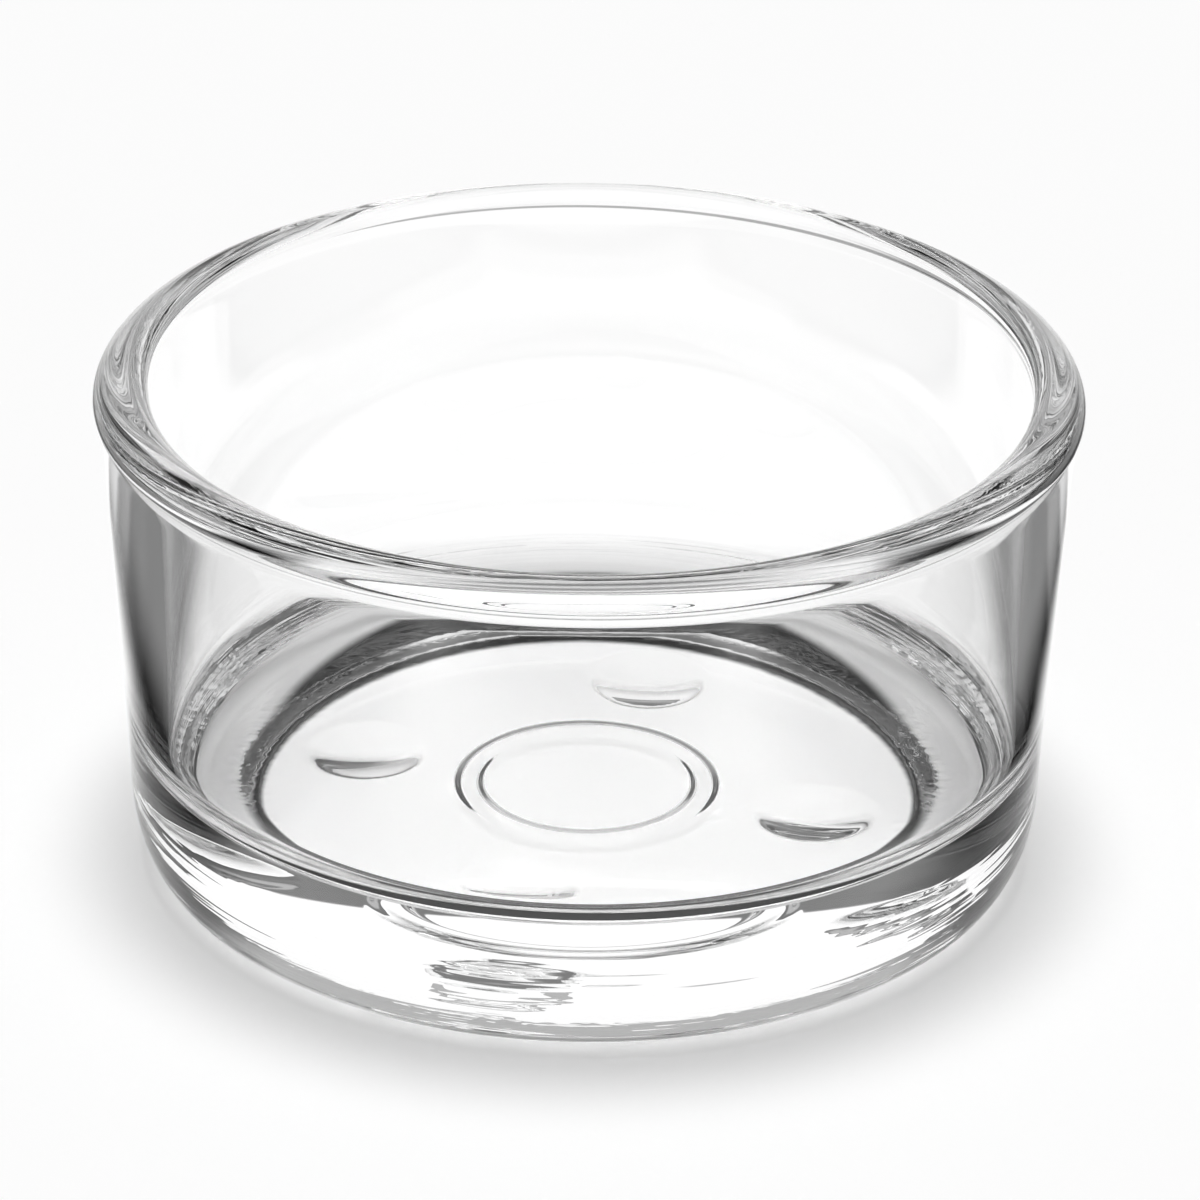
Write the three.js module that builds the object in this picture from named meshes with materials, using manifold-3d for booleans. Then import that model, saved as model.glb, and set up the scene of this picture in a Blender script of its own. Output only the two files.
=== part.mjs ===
// A small round tealight holder of clear pressed glass, in millimetres, +Z up.
// The origin is on the axis, on the surface that the holder stands on.
// The glass is one piece: rim bead, wall, thick base, foot ring and underside pips are moulded together.

import * as THREE from "three";
import { mergeVertices } from "three/addons/utils/BufferGeometryUtils.js";
import Module from "manifold-3d";

// Overall
const HEIGHT = 31.8;
const RIM_RADIUS = 30;

// Rim bead, a roll of glass round the mouth
const BEAD_CROWN = 1.4; // from its thickest line up to the top
const BEAD_UNDERCUT = 0.8; // from its thickest line down to its underside
const BEAD_ROLL = 2; // from the middle of the roll out to the rim
const BEAD_OVERHANG = 0.45; // how far it stands out of the wall below it
const LIP_DROP = 0.7; // height of the rounded edge on its inside, at the mouth

// Wall
const RIM_THICKNESS = 2.8; // glass between the mouth and the wall's outside, under the bead
const WALL_FOOT_THICKNESS = 2.5; // glass at the top of the floor's fillet
const WALL_TAPER = 1.4; // radius lost from under the bead to the foot's corner
const WALL_HOLLOW = 0.05; // how far the wall's outside bows in between its two ends

// Base and foot
const BASE_THICKNESS = 7.5; // from the standing surface to the floor
const FOOT_CORNER_HEIGHT = 6.3;
const FOOT_CORNER_WIDTH = 3.1;
const FOOT_CORNER_POWER = 0.84; // 1 is a quarter ellipse, and less is fuller
const FOOT_RING_WIDTH = 2.75; // the flat ring that the holder stands on
const RECESS_DEPTH = 0.6; // the underside inside that ring is raised by this
const RECESS_EDGE_WIDTH = 2.4; // the gentle slope between the ring and the raised underside

// Ring mark, a shallow groove in the underside round the middle
const MARK_INNER_RADIUS = 6.3;
const MARK_OUTER_RADIUS = 8.2;
const MARK_DEPTH = 0.4;
const MARK_EDGE_WIDTH = 0.5;

// Underside pips, four low round bumps in the recess, seen through the floor
const PIP_COUNT = 4;
const PIP_RADIUS = 3.7;
const PIP_HEIGHT = 0.5;
const PIP_INSET = 1.85; // from the recess's edge in to the pip's edge
const PIP_FIRST_ANGLE = 74.6; // degrees from +X

// Floor: a standard tealight cup stands on it, clear of the fillet
const TEALIGHT_RADIUS = 19.3;
const TEALIGHT_CLEARANCE = 1.9;
const FLOOR_FILLET_HEIGHT = 3.1;

// Fineness of the faceted surface
const TURN_STEPS = 72;
const RECESS_STEPS = 6;
const CORNER_STEPS = 7;
const WALL_STEPS = 5;
const BEAD_LOWER_STEPS = 3;
const BEAD_UPPER_STEPS = 5;
const LIP_STEPS = 4;
const FILLET_STEPS = 7;
const PIP_TURN_STEPS = 24;
const PIP_ARC_STEPS = 3;
const PIP_ROOT = 0.5; // how deep a pip's solid reaches into the base that it is joined to

// Sizes that follow from these
const beadHeight = HEIGHT - BEAD_CROWN;
const beadRadius = RIM_RADIUS - BEAD_ROLL;
const wallTopRadius = RIM_RADIUS - BEAD_OVERHANG;
const wallFootRadius = wallTopRadius - WALL_TAPER;
const footRadius = wallFootRadius - FOOT_CORNER_WIDTH;
const ringInnerRadius = footRadius - FOOT_RING_WIDTH;
const recessRadius = ringInnerRadius - RECESS_EDGE_WIDTH;
const mouthRadius = wallTopRadius - RIM_THICKNESS;
const floorRadius = TEALIGHT_RADIUS + TEALIGHT_CLEARANCE;
const filletTop = BASE_THICKNESS + FLOOR_FILLET_HEIGHT;
const pipCircleRadius = recessRadius - PIP_INSET - PIP_RADIUS;

const wasm = await Module();
wasm.setup();

const point = (radius, height) => new THREE.Vector2(radius, height);

// Points along an ellipse's arc, angles in radians from the outward direction.
function ellipseArc(radius, height, across, up, from, to, steps) {
  return new THREE.EllipseCurve(radius, height, across, up, from, to, to < from).getPoints(steps);
}

// The underside: middle, groove of the ring mark, recess, and its gentle slope down to the foot ring.
function undersideProfile() {
  const bottom = RECESS_DEPTH + MARK_DEPTH;
  const points = [
    point(0, RECESS_DEPTH),
    point(MARK_INNER_RADIUS, RECESS_DEPTH),
    point(MARK_INNER_RADIUS + MARK_EDGE_WIDTH, bottom),
    point(MARK_OUTER_RADIUS - MARK_EDGE_WIDTH, bottom),
    point(MARK_OUTER_RADIUS, RECESS_DEPTH),
  ];
  for (let i = 0; i <= RECESS_STEPS; i++) {
    const share = i / RECESS_STEPS;
    const left = 1 - THREE.MathUtils.smoothstep(share, 0, 1);
    points.push(point(recessRadius + RECESS_EDGE_WIDTH * share, RECESS_DEPTH * left));
  }
  return points;
}

// The rounded corner between the foot ring and the wall.
function cornerProfile() {
  const points = [];
  for (let i = 0; i <= CORNER_STEPS; i++) {
    const turn = ((i / CORNER_STEPS) * Math.PI) / 2;
    const out = Math.sin(turn) ** FOOT_CORNER_POWER;
    const down = Math.max(Math.cos(turn), 0) ** FOOT_CORNER_POWER;
    points.push(point(footRadius + FOOT_CORNER_WIDTH * out, FOOT_CORNER_HEIGHT * (1 - down)));
  }
  return points;
}

// The wall's outside as one slightly hollow curve, up to where it meets the bead.
const beadStart = -Math.acos((wallTopRadius - beadRadius) / BEAD_ROLL);
const wallTop = point(wallTopRadius, beadHeight + BEAD_UNDERCUT * Math.sin(beadStart));
const wallFoot = point(wallFootRadius, FOOT_CORNER_HEIGHT);
const wallBend = wallFoot.clone().lerp(wallTop, 0.5);
wallBend.x -= 2 * WALL_HOLLOW;
const wallCurve = new THREE.QuadraticBezierCurve(wallFoot, wallBend, wallTop);

// The wall's outside radius at a height, from the same curve.
function wallRadiusAt(height) {
  const share = (height - wallFoot.y) / (wallTop.y - wallFoot.y);
  return wallCurve.getPoint(THREE.MathUtils.clamp(share, 0, 1)).x;
}

// The bead: its roll outside, below and above its widest line, then its rounded lip down into the mouth.
function beadProfile() {
  const lipWidth = beadRadius - mouthRadius;
  const lipHeight = HEIGHT - LIP_DROP;
  const top = Math.PI / 2;
  return [
    ...ellipseArc(beadRadius, beadHeight, BEAD_ROLL, BEAD_UNDERCUT, beadStart, 0, BEAD_LOWER_STEPS).slice(1),
    ...ellipseArc(beadRadius, beadHeight, BEAD_ROLL, BEAD_CROWN, 0, top, BEAD_UPPER_STEPS).slice(1),
    ...ellipseArc(beadRadius, lipHeight, lipWidth, LIP_DROP, top, Math.PI, LIP_STEPS).slice(1),
  ];
}

// The inside: straight wall, elliptical fillet and flat floor to the middle.
function insideProfile() {
  const innerFootRadius = wallRadiusAt(filletTop) - WALL_FOOT_THICKNESS;
  const width = innerFootRadius - floorRadius;
  const quarter = Math.PI / 2;
  return [
    ...ellipseArc(floorRadius, filletTop, width, FLOOR_FILLET_HEIGHT, 0, -quarter, FILLET_STEPS),
    point(0, BASE_THICKNESS),
  ];
}

// A profile turned about the Z axis.
function turned(profile, steps) {
  return new THREE.LatheGeometry(profile, steps).rotateX(Math.PI / 2);
}

// A geometry as a closed solid. The lathe's empty triangles on the axis are left out.
function solid(geometry) {
  const bare = new THREE.BufferGeometry();
  bare.setAttribute("position", geometry.getAttribute("position"));
  bare.setIndex(geometry.getIndex());
  const merged = mergeVertices(bare, 1e-4);
  const index = merged.getIndex().array;
  const triangles = [];
  for (let i = 0; i < index.length; i += 3) {
    const [a, b, c] = index.slice(i, i + 3);
    if (a !== b && b !== c && c !== a) triangles.push(a, b, c);
  }
  return new wasm.Manifold(
    new wasm.Mesh({
      numProp: 3,
      vertProperties: merged.getAttribute("position").array,
      triVerts: new Uint32Array(triangles),
    }),
  );
}

// A solid's surface as a geometry.
function surface(body) {
  const mesh = body.getMesh();
  const geometry = new THREE.BufferGeometry();
  geometry.setAttribute("position", new THREE.BufferAttribute(mesh.vertProperties, 3));
  geometry.setIndex(new THREE.BufferAttribute(mesh.triVerts, 1));
  geometry.computeVertexNormals();
  return geometry;
}

function bowl() {
  const profile = [
    ...undersideProfile(),
    ...cornerProfile(),
    ...wallCurve.getPoints(WALL_STEPS).slice(1),
    ...beadProfile(),
    ...insideProfile(),
  ];
  return solid(turned(profile, TURN_STEPS));
}

// A low domed pip, hanging from the raised underside at an angle round the axis.
function pip(angle) {
  const domeRadius = (PIP_RADIUS ** 2 + PIP_HEIGHT ** 2) / (2 * PIP_HEIGHT);
  const rim = Math.acos(PIP_RADIUS / domeRadius);
  const centre = PIP_HEIGHT - domeRadius;
  const profile = [
    point(0, -PIP_ROOT),
    point(PIP_RADIUS, -PIP_ROOT),
    ...ellipseArc(0, centre, domeRadius, domeRadius, rim, Math.PI / 2, PIP_ARC_STEPS),
  ];
  const x = pipCircleRadius * Math.cos(angle);
  const y = pipCircleRadius * Math.sin(angle);
  const dome = turned(profile, PIP_TURN_STEPS).rotateX(Math.PI);
  return solid(dome.translate(x, y, RECESS_DEPTH));
}

function glassBody() {
  let body = bowl();
  for (let i = 0; i < PIP_COUNT; i++) {
    const angle = THREE.MathUtils.degToRad(PIP_FIRST_ANGLE + (i * 360) / PIP_COUNT);
    body = body.add(pip(angle));
  }
  const glass = new THREE.MeshStandardMaterial({
    color: 0xf4f8f7,
    roughness: 0.03,
    metalness: 0,
    transparent: true,
    opacity: 0.35,
  });
  const mesh = new THREE.Mesh(surface(body), glass);
  mesh.name = "glass_body";
  return mesh;
}

const holder = new THREE.Group();
holder.add(glassBody());

export default holder;
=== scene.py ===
"""A small round tealight holder of clear pressed glass on a pale table, in metres, +Z up.

The glass is one piece, so it is one mesh: a fine profile turned about the axis, with the four pips
under its base and the slight unevenness of pressed glass added to it.
"""

import math

import bpy
import numpy as np
from mathutils import Matrix, Vector


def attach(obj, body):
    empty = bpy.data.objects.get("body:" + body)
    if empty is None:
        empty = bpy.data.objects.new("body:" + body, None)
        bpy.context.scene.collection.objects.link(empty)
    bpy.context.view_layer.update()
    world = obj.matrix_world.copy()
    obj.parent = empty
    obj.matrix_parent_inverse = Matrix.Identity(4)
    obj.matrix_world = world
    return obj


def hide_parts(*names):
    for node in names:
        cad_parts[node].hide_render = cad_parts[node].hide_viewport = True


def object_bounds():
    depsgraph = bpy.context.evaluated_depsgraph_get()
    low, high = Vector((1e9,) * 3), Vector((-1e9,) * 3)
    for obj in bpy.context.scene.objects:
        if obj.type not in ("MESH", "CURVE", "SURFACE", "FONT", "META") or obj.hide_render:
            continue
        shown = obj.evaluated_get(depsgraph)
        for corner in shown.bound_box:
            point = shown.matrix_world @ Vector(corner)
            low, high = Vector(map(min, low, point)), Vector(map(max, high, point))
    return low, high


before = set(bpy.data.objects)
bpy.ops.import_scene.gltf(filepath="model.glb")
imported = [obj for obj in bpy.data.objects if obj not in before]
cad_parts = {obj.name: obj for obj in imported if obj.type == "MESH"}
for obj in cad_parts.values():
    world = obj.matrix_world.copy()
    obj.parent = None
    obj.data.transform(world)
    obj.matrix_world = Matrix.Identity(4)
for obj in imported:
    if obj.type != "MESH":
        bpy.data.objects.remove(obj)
CAD_BOX = [list(corner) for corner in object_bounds()]

MM = 0.001

# Overall sizes in millimetres, from the frame
RIM_RADIUS = round(CAD_BOX[1][0] / MM, 3)
HEIGHT = round(CAD_BOX[1][2] / MM, 3)

# Other sizes of the glass in millimetres, as the part's source has them
BEAD_CROWN = 1.4
BEAD_UNDERCUT = 0.8
BEAD_ROLL = 2.0
BEAD_OVERHANG = 0.45
LIP_DROP = 0.7
RIM_THICKNESS = 2.8
WALL_FOOT_THICKNESS = 2.5
WALL_TAPER = 1.4
WALL_HOLLOW = 0.05
BASE_THICKNESS = 7.5
FOOT_CORNER_HEIGHT = 6.3
FOOT_CORNER_WIDTH = 3.1
FOOT_CORNER_POWER = 0.84
FOOT_RING_WIDTH = 2.75
RECESS_DEPTH = 0.6
RECESS_EDGE_WIDTH = 2.4
MARK_INNER_RADIUS = 6.3
MARK_OUTER_RADIUS = 8.2
MARK_DEPTH = 0.4
MARK_EDGE_WIDTH = 0.5
PIP_COUNT = 4
PIP_RADIUS = 3.7
PIP_HEIGHT = 0.5
PIP_INSET = 1.85
PIP_FIRST_ANGLE = 74.6
TEALIGHT_RADIUS = 19.3
TEALIGHT_CLEARANCE = 1.9
FLOOR_FILLET_HEIGHT = 3.1

bead_height = HEIGHT - BEAD_CROWN
bead_radius = RIM_RADIUS - BEAD_ROLL
wall_top_radius = RIM_RADIUS - BEAD_OVERHANG
wall_foot_radius = wall_top_radius - WALL_TAPER
foot_radius = wall_foot_radius - FOOT_CORNER_WIDTH
ring_inner_radius = foot_radius - FOOT_RING_WIDTH
recess_radius = ring_inner_radius - RECESS_EDGE_WIDTH
mouth_radius = wall_top_radius - RIM_THICKNESS
floor_radius = TEALIGHT_RADIUS + TEALIGHT_CLEARANCE
fillet_top = BASE_THICKNESS + FLOOR_FILLET_HEIGHT
pip_circle_radius = recess_radius - PIP_INSET - PIP_RADIUS
bead_start = -math.acos((wall_top_radius - bead_radius) / BEAD_ROLL)
wall_top_height = bead_height + BEAD_UNDERCUT * math.sin(bead_start)

# What pressing leaves in the shape, in millimetres
SOFTENING = 0.1  # how far fire polishing has rounded the profile's edges
SOFTENING_REACH = 2.5  # it reaches this many times as far to either side
PLUNGER_SHIFT = (0.25, -0.25)  # the plunger stood this far off the mould's axis, at the floor
PLUNGER_TOP_SHIFT = 0.15  # and this far along X at the mouth
PLUNGER_FADE = 1.0  # the shift fades out over this height below the top
WALL_INSIDE_BOW = 0.15  # the wall's inside is this much fuller half way up

# What it leaves in the surface: a grain round the edge of the underside
GRAIN_WAVES = (700, 1100, 0)  # to the metre, each way
GRAIN_DEPTH = 0.045 * MM
GRAIN_START = 19.5 * MM  # from this radius
GRAIN_END = 23.0 * MM  # to this one
GRAIN_SOFT = 1.0 * MM
UNDERSIDE_TOP = 0.8 * MM  # the underside's slope and its pips lie below this height
UNDERSIDE_TOP_SOFT = 0.2 * MM

# And level wrinkles round the foot, up to CHILL_TOP, where the glass met the cold mould
CHILL_WAVES = (60, 60, 2200)
CHILL_DEPTH = 0.035 * MM
CHILL_TOP = 6.5 * MM
CHILL_SOFT = 1.0 * MM

GLASS_IOR = 1.52
BOUNCES = 16  # light goes round inside the thick rim and foot this many times at most

# Fineness of the mesh
TURN_STEPS = 320
MIDDLE_STEPS = 6  # across the underside inside the ring mark
MARK_STEPS = 32
MARK_MARGIN = 0.6  # its close steps start this far inside it and end this far outside
RECESS_STEPS = 32
RECESS_EDGE_STEPS = 18
CORNER_STEPS = 32
WALL_STEPS = 40
BEAD_STEPS = 14  # below its thickest line, and as many above
LIP_STEPS = 18
WALL_INSIDE_STEPS = 20
FILLET_STEPS = 26
FLOOR_STEPS = 16
SOFTENING_SAMPLES = 11

# Light, where 1 is white
WHITE = (1, 1, 1, 1)
BACKDROP_LEVEL = 0.985  # what the camera sees behind the table

# The small round lamp overhead, which only the table sees, also through the glass
LAMP_TILT = math.radians(2)  # it leans this far to the back
LAMP_HALF = math.radians(8)  # half its width, as the holder sees it
LAMP_SOFT = math.radians(5)
LAMP_LEVEL = 46.0

# The room as the glass shows it. Angles round the axis are from straight behind, to either side.
ROOM_LEVEL = 1.0  # behind the holder and beside it, where nothing stands
FRONT_LEVEL = 0.6
FRONT_START = math.radians(140)
CEILING_LEVEL = 1.0
CARD_START = math.radians(40)  # a dark card stands on either side, from here
CARD_END = math.radians(122)
CARD_FOOT = math.radians(4)
CARD_TOP = math.radians(58)
CARD_SOFT = math.radians(9)
CARD_FOOT_SOFT = CARD_SOFT / 3
PANEL_LEVEL = 0.15  # a panel hangs behind, between the cards
PANEL_FOOT = math.radians(20)
HORIZON_LEVEL = 0.45  # under the panel

# The table as the camera and the lamp see it
TABLE_HALF = 3.0
TABLE_DROP = 0.00004
TABLE_COLOUR = 0.5
TABLE_GLOW = 0.49

# The table as a mirror or the glass shows it, with painted shade: a bright strip from front to back, dark
# on both sides
GLASS_SIDE_COLOUR = 0.65
GLASS_SIDE_GLOW = 0.4
PAINTED_UNDER_LIGHT = 0.67  # painted light under the holder, making up for the lamp's light that comes less there
STRIP_HALF = 1.28 * RIM_RADIUS * MM  # half the strip's width
STRIP_SOFT = 0.18 * RIM_RADIUS * MM
STRIP_WAIST = 0.15 * RIM_RADIUS * MM  # next to the holder, each half is narrower by this: the holder's painted shadow at its sides
STRIP_WAIST_END = 0.45 * RIM_RADIUS * MM  # as far as this to the front and the back
STRIP_WIDENING = 0.8 * RIM_RADIUS * MM  # and further back it is wider by this
STRIP_WIDE_START = 1.6 * RIM_RADIUS * MM
BESIDE_START = 1.6 * RIM_RADIUS * MM  # the painted shade on either side is a little lighter from here out
BESIDE_SOFT = 0.2 * RIM_RADIUS * MM
BESIDE_LEVEL = 0.22
BAR_START = -2.1 * RIM_RADIUS * MM  # a bar of painted shade lies across the strip in front
BAR_END = -3.0 * RIM_RADIUS * MM  # beyond it the table is bright
BAR_LEVEL = 0.05
DARK_TABLE_END = 4.5 * RIM_RADIUS * MM  # and from here out all the table is bright
DARK_TABLE_SOFT = DARK_TABLE_END / 4

# The contact shadow under the foot, painted black on the table as the glass shows it
CONTACT_START = 20.1 * MM  # from this radius
CONTACT_START_SOFT = 0.3 * MM
CONTACT_END = 27.0 * MM  # out to this one in front and at the back
CONTACT_SIDE_LOSS = 5.7 * MM  # and to this much less at the sides
CONTACT_END_SOFT = 0.6 * MM
CONTACT_LEVEL = 0.0

# The camera, fitted to the holder's outline in the photograph
LENS = 210.0
SENSOR = 36.0
CLIP_START = 0.01
CAMERA_DISTANCE = 14.321 * RIM_RADIUS * MM
CAMERA_ELEVATION = math.radians(26.74)
CAMERA_ROLL = math.radians(0.75)
AIM_SIDE = 0.0268 * RIM_RADIUS * MM
AIM_HEIGHT = 0.5433 * RIM_RADIUS * MM


def ease(share):
    """A smooth step from 0 to 1."""
    share = np.clip(share, 0.0, 1.0)
    return share * share * (3 - 2 * share)


def ellipse_arc(radius, height, across, up, start, end, steps):
    """Points along an ellipse's arc, as (radius, height) rows, angles from the outward direction."""
    turn = np.linspace(start, end, steps)
    return np.column_stack([radius + across * np.cos(turn), height + up * np.sin(turn)])


def underside_profile():
    """The underside: middle, groove of the ring mark, recess, and its slope down to the foot ring."""
    mark_start = MARK_INNER_RADIUS - MARK_MARGIN
    mark_end = MARK_OUTER_RADIUS + MARK_MARGIN
    radius = np.concatenate([
        np.linspace(0, mark_start, MIDDLE_STEPS, endpoint=False),
        np.linspace(mark_start, mark_end, MARK_STEPS, endpoint=False),
        np.linspace(mark_end, recess_radius, RECESS_STEPS, endpoint=False),
        np.linspace(recess_radius, ring_inner_radius, RECESS_EDGE_STEPS),
    ])
    rise_in = ease((radius - MARK_INNER_RADIUS) / MARK_EDGE_WIDTH)
    rise_out = ease((MARK_OUTER_RADIUS - radius) / MARK_EDGE_WIDTH)
    edge = ease((ring_inner_radius - radius) / RECESS_EDGE_WIDTH)
    height = RECESS_DEPTH * edge + MARK_DEPTH * np.minimum(rise_in, rise_out)
    return np.column_stack([radius, height])


def corner_profile():
    """The rounded corner between the foot ring and the wall."""
    turn = np.linspace(0, math.pi / 2, CORNER_STEPS)
    out = np.sin(turn) ** FOOT_CORNER_POWER
    down = np.maximum(np.cos(turn), 0) ** FOOT_CORNER_POWER
    return np.column_stack([
        foot_radius + FOOT_CORNER_WIDTH * out,
        FOOT_CORNER_HEIGHT * (1 - down),
    ])


def wall_curve(share):
    """The wall's outside between the foot's corner (0) and the bead (1), slightly hollow."""
    bend_radius = (wall_foot_radius + wall_top_radius) / 2 - 2 * WALL_HOLLOW
    bend_height = (FOOT_CORNER_HEIGHT + wall_top_height) / 2
    a, b, c = (1 - share) ** 2, 2 * share * (1 - share), share**2
    radius = a * wall_foot_radius + b * bend_radius + c * wall_top_radius
    height = a * FOOT_CORNER_HEIGHT + b * bend_height + c * wall_top_height
    return np.column_stack([radius, height])


def bead_profile():
    """The bead: its roll below and above its thickest line, then its lip down into the mouth."""
    lip_width = bead_radius - mouth_radius
    top = math.pi / 2
    return np.vstack([
        ellipse_arc(bead_radius, bead_height, BEAD_ROLL, BEAD_UNDERCUT, bead_start, 0, BEAD_STEPS)[1:],
        ellipse_arc(bead_radius, bead_height, BEAD_ROLL, BEAD_CROWN, 0, top, BEAD_STEPS)[1:],
        ellipse_arc(bead_radius, HEIGHT - LIP_DROP, lip_width, LIP_DROP, top, math.pi, LIP_STEPS)[1:],
    ])


def inside_profile():
    """The inside: wall, slightly bowed, elliptical fillet and flat floor to the middle."""
    share = (fillet_top - FOOT_CORNER_HEIGHT) / (wall_top_height - FOOT_CORNER_HEIGHT)
    inner_foot_radius = wall_curve(np.array([share]))[0, 0] - WALL_FOOT_THICKNESS
    width = inner_foot_radius - floor_radius
    down = np.linspace(0, 1, WALL_INSIDE_STEPS)[1:-1]
    bow = WALL_INSIDE_BOW * 4 * down * (1 - down)
    wall = np.column_stack([
        mouth_radius + (inner_foot_radius - mouth_radius) * down - bow,
        HEIGHT - LIP_DROP + (fillet_top - HEIGHT + LIP_DROP) * down,
    ])
    quarter = math.pi / 2
    fillet = ellipse_arc(floor_radius, fillet_top, width, FLOOR_FILLET_HEIGHT, 0, -quarter, FILLET_STEPS)
    radius = np.linspace(floor_radius, 0, FLOOR_STEPS)[1:]
    flat = np.column_stack([radius, np.full_like(radius, BASE_THICKNESS)])
    return np.vstack([wall, fillet, flat])


def softened(profile):
    """The profile with its sharp edges rounded, as polishing in the flame leaves them."""
    steps = np.linalg.norm(np.diff(profile, axis=0), axis=1)
    along = np.concatenate([[0], np.cumsum(steps)])
    reach = np.linspace(-SOFTENING_REACH, SOFTENING_REACH, SOFTENING_SAMPLES) * SOFTENING
    weight = np.exp(-0.5 * (reach / SOFTENING) ** 2)
    out = profile.copy()
    for i in range(1, len(profile) - 1):
        at = np.clip(along[i] + reach, along[0], along[-1])
        for k in range(2):
            out[i, k] = np.average(np.interp(at, along, profile[:, k]), weights=weight)
    return out


def pip_height(x, y):
    """How far the pips hang below the raised underside at a point."""
    height = np.zeros_like(x)
    for i in range(PIP_COUNT):
        angle = math.radians(PIP_FIRST_ANGLE + 360 / PIP_COUNT * i)
        middle_x = pip_circle_radius * math.cos(angle)
        middle_y = pip_circle_radius * math.sin(angle)
        share = np.clip(np.hypot(x - middle_x, y - middle_y) / PIP_RADIUS, 0, 1)
        height += PIP_HEIGHT * (1 - share**2)
    return height


def plunger_shift(rings, inside):
    """How far each ring lies off the axis, along X and Y: only the plunger's side of the glass does."""
    up = np.clip((rings[:, 1] - BASE_THICKNESS) / (HEIGHT - BASE_THICKNESS), 0, 1)
    below_top = np.clip((HEIGHT - rings[:, 1]) / PLUNGER_FADE, 0, 1)
    side = np.where(inside, (PLUNGER_SHIFT[0] * (1 - up) + PLUNGER_TOP_SHIFT * up) * below_top, 0)
    front = np.where(inside, PLUNGER_SHIFT[1] * (1 - up) * below_top, 0)
    return side[:, None], front[:, None]


def turned_faces(ring_count):
    """Squares between the rings of points, and fans to the underside's middle and the floor's middle."""
    bottom = ring_count * TURN_STEPS
    top = bottom + 1
    faces = []
    for ring in range(ring_count - 1):
        for step in range(TURN_STEPS):
            near, far = ring * TURN_STEPS, (ring + 1) * TURN_STEPS
            turn = (step + 1) % TURN_STEPS
            faces.append((near + step, near + turn, far + turn, far + step))
    last = (ring_count - 1) * TURN_STEPS
    for step in range(TURN_STEPS):
        turn = (step + 1) % TURN_STEPS
        faces.append((bottom, turn, step))
        faces.append((last + step, last + turn, top))
    return faces


def glass_mesh():
    """The glass as one closed mesh: rings of points from the underside round to the floor."""
    under = underside_profile()
    outside = [under, corner_profile(), wall_curve(np.linspace(0, 1, WALL_STEPS))[1:]]
    profile = softened(np.vstack([*outside, bead_profile(), inside_profile()]))
    rings = profile[1:-1]
    angle = np.arange(TURN_STEPS) * 2 * math.pi / TURN_STEPS
    radius = np.repeat(rings[:, :1], TURN_STEPS, axis=1)
    height = np.repeat(rings[:, 1:], TURN_STEPS, axis=1)
    x, y = radius * np.cos(angle), radius * np.sin(angle)
    base = slice(0, len(under) - 1)
    height[base] -= pip_height(x[base], y[base])
    side, front = plunger_shift(rings, np.arange(len(rings)) >= np.argmax(rings[:, 1]))
    points = np.stack([x + side, y + front, height], axis=-1).reshape(-1, 3)
    ends = [[0, 0, profile[0, 1]], [side[-1, 0], front[-1, 0], profile[-1, 1]]]
    points = np.vstack([points, ends]) * MM
    mesh = bpy.data.meshes.new("glass_holder")
    mesh.from_pydata(points.tolist(), [], turned_faces(len(rings)))
    mesh.update()
    mesh.shade_smooth()
    return mesh


def added(name, data):
    """A new object in the scene that shows this mesh or camera."""
    piece = bpy.data.objects.new(name, data)
    bpy.context.scene.collection.objects.link(piece)
    return piece


def feed(tree, socket, value):
    """Sets an input to a number, or links it to another node's output."""
    if isinstance(value, (int, float)):
        socket.default_value = value
    else:
        tree.links.new(value, socket)


def link_math(tree, operation, *values):
    """A Math node whose inputs are numbers or sockets; gives its output."""
    node = tree.nodes.new("ShaderNodeMath")
    node.operation = operation
    for socket, value in zip(node.inputs, values):
        feed(tree, socket, value)
    return node.outputs[0]


def blend_over(tree, value, middle, half_width, low, high):
    """Goes smoothly from low to high as value passes middle."""
    node = tree.nodes.new("ShaderNodeMapRange")
    node.interpolation_type = "SMOOTHSTEP"
    node.inputs["From Min"].default_value = middle - half_width
    node.inputs["From Max"].default_value = middle + half_width
    feed(tree, node.inputs["Value"], value)
    feed(tree, node.inputs["To Min"], low)
    feed(tree, node.inputs["To Max"], high)
    return node.outputs[0]


def pick(tree, chosen, off, on):
    """The value off where chosen is 0, and on where it is 1."""
    node = tree.nodes.new("ShaderNodeMix")
    feed(tree, node.inputs["Factor"], chosen)
    feed(tree, node.inputs["A"], off)
    feed(tree, node.inputs["B"], on)
    return node.outputs["Result"]


def coordinates(tree, place):
    """The X, Y and Z of a place or direction."""
    split = tree.nodes.new("ShaderNodeSeparateXYZ")
    feed(tree, split.inputs[0], place)
    return split.outputs


def distance_between(tree, x, y):
    """How far a point with these two coordinates is from the axis."""
    squares = [link_math(tree, "MULTIPLY", value, value) for value in (x, y)]
    return link_math(tree, "SQRT", link_math(tree, "ADD", *squares))


def waves(tree, place, scale):
    """A smooth unevenness with so many waves to the metre each way, about 0.5."""
    stretch = tree.nodes.new("ShaderNodeVectorMath")
    stretch.operation = "MULTIPLY"
    feed(tree, stretch.inputs[0], place)
    stretch.inputs[1].default_value = scale
    noise = tree.nodes.new("ShaderNodeTexNoise")
    noise.inputs["Scale"].default_value = 1.0
    noise.inputs["Detail"].default_value = 1.0
    feed(tree, noise.inputs["Vector"], stretch.outputs[0])
    return noise.outputs[0]


def sent_on_rays(tree):
    """1 for rays that a mirror surface or glass sends on, else 0, and the Light Path node itself."""
    path = tree.nodes.new("ShaderNodeLightPath")
    sent_on = link_math(tree, "MAXIMUM", path.outputs["Is Glossy Ray"], path.outputs["Is Transmission Ray"])
    return sent_on, path


def emptied_tree(owner):
    """The node tree of a new material or world, with nothing in it yet."""
    owner.use_nodes = True
    owner.node_tree.nodes.clear()
    return owner.node_tree


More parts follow.
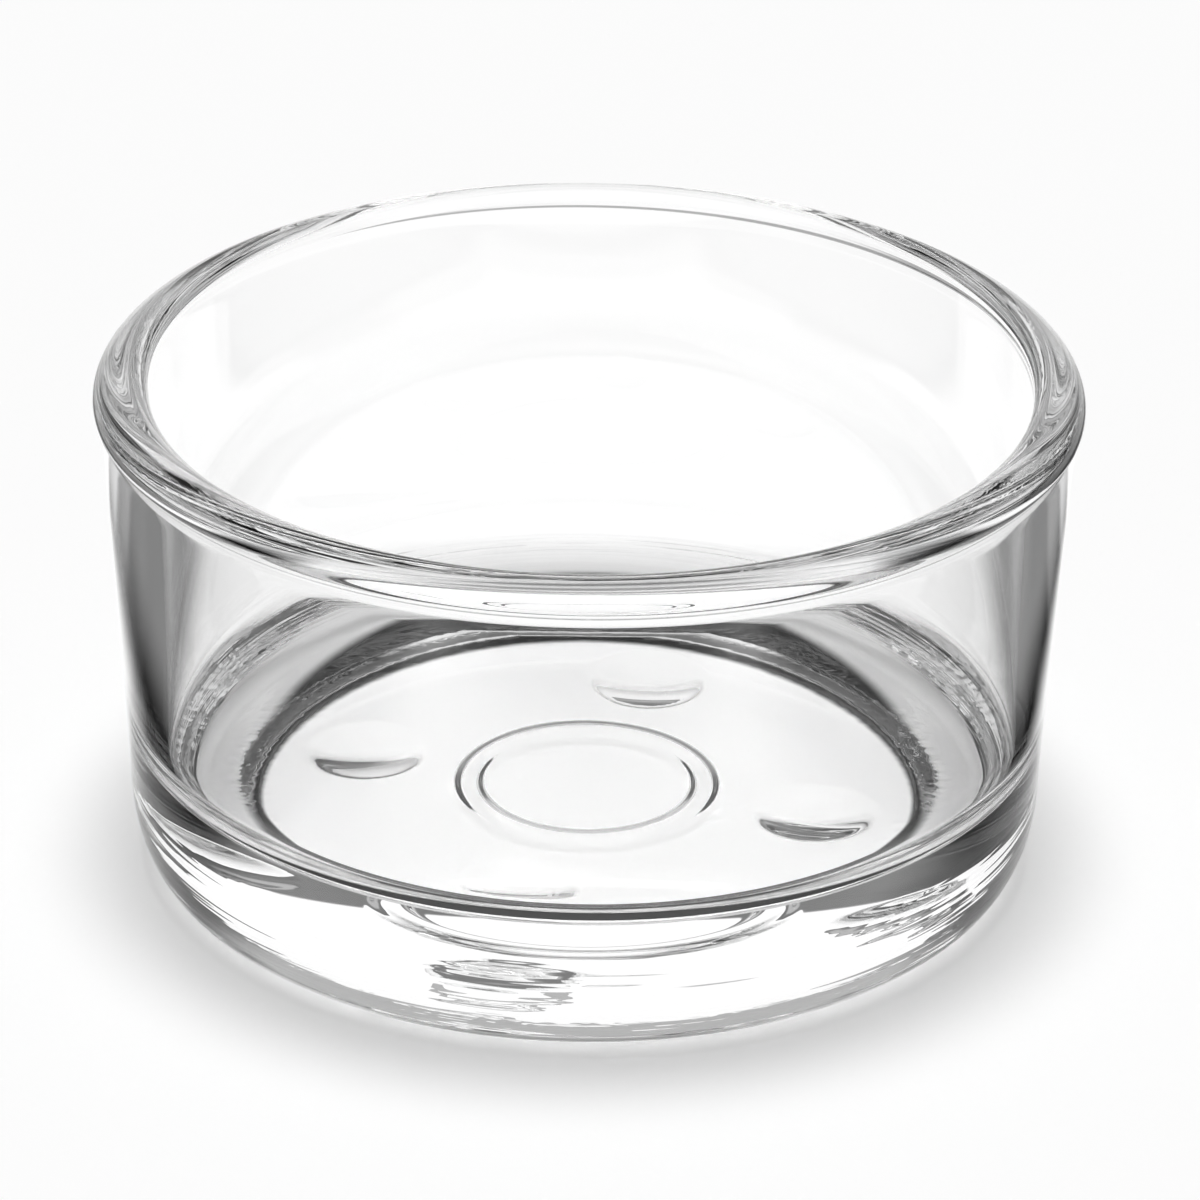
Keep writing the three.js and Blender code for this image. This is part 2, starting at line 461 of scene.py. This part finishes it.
def mould_grain(tree, place):
    """The height of the grain, round the edge of the underside."""
    x, y, z = coordinates(tree, place)
    radius = distance_between(tree, x, y)
    depth = blend_over(tree, radius, GRAIN_START, GRAIN_SOFT, 0.0, GRAIN_DEPTH)
    depth = blend_over(tree, radius, GRAIN_END, GRAIN_SOFT, depth, 0.0)
    depth = blend_over(tree, z, UNDERSIDE_TOP, UNDERSIDE_TOP_SOFT, depth, 0.0)
    return link_math(tree, "MULTIPLY", waves(tree, place, GRAIN_WAVES), depth)


def chill_wrinkles(tree, place):
    """The height of the wrinkles, round the foot above the underside."""
    z = coordinates(tree, place)["Z"]
    depth = blend_over(tree, z, CHILL_TOP, CHILL_SOFT, CHILL_DEPTH, 0.0)
    depth = blend_over(tree, z, UNDERSIDE_TOP, UNDERSIDE_TOP_SOFT, 0.0, depth)
    return link_math(tree, "MULTIPLY", waves(tree, place, CHILL_WAVES), depth)


def glass_material():
    """Clear glass with the grain and the wrinkles in its surface."""
    material = bpy.data.materials.new("clear_glass")
    material.use_nodes = True
    tree = material.node_tree
    shader = tree.nodes["Principled BSDF"]
    shader.inputs["Base Color"].default_value = WHITE
    shader.inputs["Transmission Weight"].default_value = 1
    shader.inputs["Roughness"].default_value = 0
    shader.inputs["IOR"].default_value = GLASS_IOR
    place = tree.nodes.new("ShaderNodeTexCoord").outputs["Object"]
    bump = tree.nodes.new("ShaderNodeBump")
    bump.inputs["Distance"].default_value = 1.0
    height = link_math(tree, "ADD", mould_grain(tree, place), chill_wrinkles(tree, place))
    feed(tree, bump.inputs["Height"], height)
    feed(tree, shader.inputs["Normal"], bump.outputs[0])
    return material


def room_light(tree, direction):
    """The room as the glass shows it: lit all round, with the dark cards, the panel and the dim front."""
    x, y, z = coordinates(tree, direction)
    azimuth = link_math(tree, "ARCTAN2", link_math(tree, "ABSOLUTE", x), y)
    elevation = link_math(tree, "ARCSINE", z)
    behind = blend_over(tree, elevation, PANEL_FOOT, CARD_FOOT_SOFT, 1 - HORIZON_LEVEL, 1 - PANEL_LEVEL)
    start = blend_over(tree, azimuth, CARD_START, CARD_SOFT, behind, 1.0)
    card = blend_over(tree, azimuth, CARD_END, CARD_SOFT, start, 0.0)
    low = blend_over(tree, elevation, CARD_FOOT, CARD_FOOT_SOFT, 0.0, card)
    shade = blend_over(tree, elevation, CARD_TOP, CARD_SOFT, low, 0.0)
    front = blend_over(tree, azimuth, FRONT_START, CARD_SOFT, ROOM_LEVEL, FRONT_LEVEL)
    around = blend_over(tree, elevation, CARD_TOP, CARD_SOFT, front, CEILING_LEVEL)
    return link_math(tree, "MULTIPLY", around, link_math(tree, "SUBTRACT", 1.0, shade))


def lamp_light(tree, direction):
    """The lamp overhead, with a soft edge."""
    _, y, z = coordinates(tree, direction)
    lamp_y = link_math(tree, "MULTIPLY", y, math.sin(LAMP_TILT))
    lamp_z = link_math(tree, "MULTIPLY", z, math.cos(LAMP_TILT))
    off_lamp = link_math(tree, "ARCCOSINE", link_math(tree, "ADD", lamp_y, lamp_z))
    return blend_over(tree, off_lamp, LAMP_HALF, LAMP_SOFT, LAMP_LEVEL, 0.0)


def background(tree, strength):
    """A white Background shader of this strength."""
    shader = tree.nodes.new("ShaderNodeBackground")
    shader.inputs["Color"].default_value = WHITE
    feed(tree, shader.inputs["Strength"], strength)
    return shader.outputs[0]


def studio():
    """The world: plain white to the camera, the room to the glass and the lamp to the table.

    A ray that has met the table before the glass sees the lamp too, so the glass lets its light through.
    """
    world = bpy.data.worlds.new("studio")
    bpy.context.scene.world = world
    tree = emptied_tree(world)
    direction = tree.nodes.new("ShaderNodeTexCoord").outputs["Generated"]
    sent_on, path = sent_on_rays(tree)
    off_table = link_math(tree, "GREATER_THAN", path.outputs["Diffuse Depth"], 0)
    sent_on = link_math(tree, "MULTIPLY", sent_on, link_math(tree, "SUBTRACT", 1.0, off_table))
    light = pick(tree, sent_on, lamp_light(tree, direction), room_light(tree, direction))
    mix = tree.nodes.new("ShaderNodeMixShader")
    feed(tree, mix.inputs[0], path.outputs["Is Camera Ray"])
    feed(tree, mix.inputs[1], background(tree, light))
    feed(tree, mix.inputs[2], background(tree, BACKDROP_LEVEL))
    feed(tree, tree.nodes.new("ShaderNodeOutputWorld").inputs[0], mix.outputs[0])


def painted_table_shade(tree, x, y, distance):
    """How dark the painted shade makes the table as the glass shows it, from 0 on the bright strip to 1."""
    aside = link_math(tree, "ABSOLUTE", x)
    beside = blend_over(tree, aside, BESIDE_START, BESIDE_SOFT, 1.0, 1 - BESIDE_LEVEL)
    off_holder = link_math(tree, "ABSOLUTE", y)
    loss = blend_over(tree, off_holder, STRIP_WAIST_END, STRIP_SOFT, STRIP_WAIST, 0.0)
    loss = blend_over(tree, y, STRIP_WIDE_START, STRIP_SOFT, loss, -STRIP_WIDENING)
    strip = blend_over(tree, link_math(tree, "ADD", aside, loss), STRIP_HALF, STRIP_SOFT, 0.0, beside)
    bar = blend_over(tree, y, BAR_END, STRIP_SOFT, 0.0, 1 - BAR_LEVEL)
    near = blend_over(tree, y, BAR_START, STRIP_SOFT, bar, strip)
    return blend_over(tree, distance, DARK_TABLE_END, DARK_TABLE_SOFT, near, 0.0)


def painted_contact_light(tree, x, distance):
    """What the painted contact shadow under the foot leaves of the light, from 0 to 1."""
    aside = link_math(tree, "ABSOLUTE", x)
    start = blend_over(tree, distance, CONTACT_START, CONTACT_START_SOFT, 1.0, CONTACT_LEVEL)
    sideways = link_math(tree, "POWER", link_math(tree, "DIVIDE", aside, distance), 2.0)
    reach = link_math(tree, "ADD", distance, link_math(tree, "MULTIPLY", sideways, CONTACT_SIDE_LOSS))
    return blend_over(tree, reach, CONTACT_END, CONTACT_END_SOFT, start, 1.0)


def table_material():
    """Pale cloth, with a little glow of its own to the camera and to the glass, and painted shade, a
    painted contact shadow and painted light under the holder that only the glass and mirror rays see.
    """
    material = bpy.data.materials.new("table")
    tree = emptied_tree(material)
    place = tree.nodes.new("ShaderNodeNewGeometry").outputs["Position"]
    x, y, _ = coordinates(tree, place)
    distance = distance_between(tree, x, y)
    # painted shade and a painted contact shadow on the table, which only the glass and mirror rays see
    shade = painted_table_shade(tree, x, y, distance)
    contact = painted_contact_light(tree, x, distance)
    left = link_math(tree, "MULTIPLY", contact, link_math(tree, "SUBTRACT", 1.0, shade))
    sent_on, path = sent_on_rays(tree)
    cloth = tree.nodes.new("ShaderNodeBsdfDiffuse")
    colour = pick(tree, sent_on, TABLE_COLOUR, link_math(tree, "MULTIPLY", left, GLASS_SIDE_COLOUR))
    feed(tree, cloth.inputs["Color"], colour)
    glow = tree.nodes.new("ShaderNodeEmission")
    plain = link_math(tree, "MULTIPLY", path.outputs["Is Camera Ray"], TABLE_GLOW)
    # painted light: more glow under the holder than round it, for the glass and mirror rays
    level = blend_over(tree, distance, CONTACT_START, CONTACT_START_SOFT, PAINTED_UNDER_LIGHT, GLASS_SIDE_GLOW)
    strength = pick(tree, sent_on, plain, link_math(tree, "MULTIPLY", left, level))
    feed(tree, glow.inputs["Strength"], strength)
    both = tree.nodes.new("ShaderNodeAddShader")
    feed(tree, both.inputs[0], cloth.outputs[0])
    feed(tree, both.inputs[1], glow.outputs[0])
    feed(tree, tree.nodes.new("ShaderNodeOutputMaterial").inputs[0], both.outputs[0])
    return material


def table():
    """A wide flat square, a hair below the foot so that the two faces don't fight."""
    half, low = TABLE_HALF, -TABLE_DROP
    corners = [(-half, -half, low), (half, -half, low), (half, half, low), (-half, half, low)]
    mesh = bpy.data.meshes.new("table")
    mesh.from_pydata(corners, [], [(0, 1, 2, 3)])
    mesh.materials.append(table_material())
    added("table", mesh)


def camera():
    """The photograph's view, from the front and above."""
    data = bpy.data.cameras.new("camera")
    data.sensor_width = SENSOR
    data.lens = LENS
    data.clip_start = CLIP_START
    eye = added("camera", data)
    forward = Vector((0, math.cos(CAMERA_ELEVATION), -math.sin(CAMERA_ELEVATION)))
    place = Vector((AIM_SIDE, 0, AIM_HEIGHT)) - CAMERA_DISTANCE * forward
    tilt = Matrix.Rotation(math.pi / 2 - CAMERA_ELEVATION, 4, "X")
    roll = Matrix.Rotation(CAMERA_ROLL, 4, "Z")
    eye.matrix_world = Matrix.Translation(place) @ tilt @ roll
    bpy.context.scene.camera = eye


holder = added("glass_holder", glass_mesh())
holder.data.materials.append(glass_material())
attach(holder, "root")
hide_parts("glass_body")

studio()
table()
camera()

scene = bpy.context.scene
scene.view_settings.view_transform = "Standard"
for limit in ("max_bounces", "glossy_bounces", "transmission_bounces"):
    setattr(scene.cycles, limit, BOUNCES)
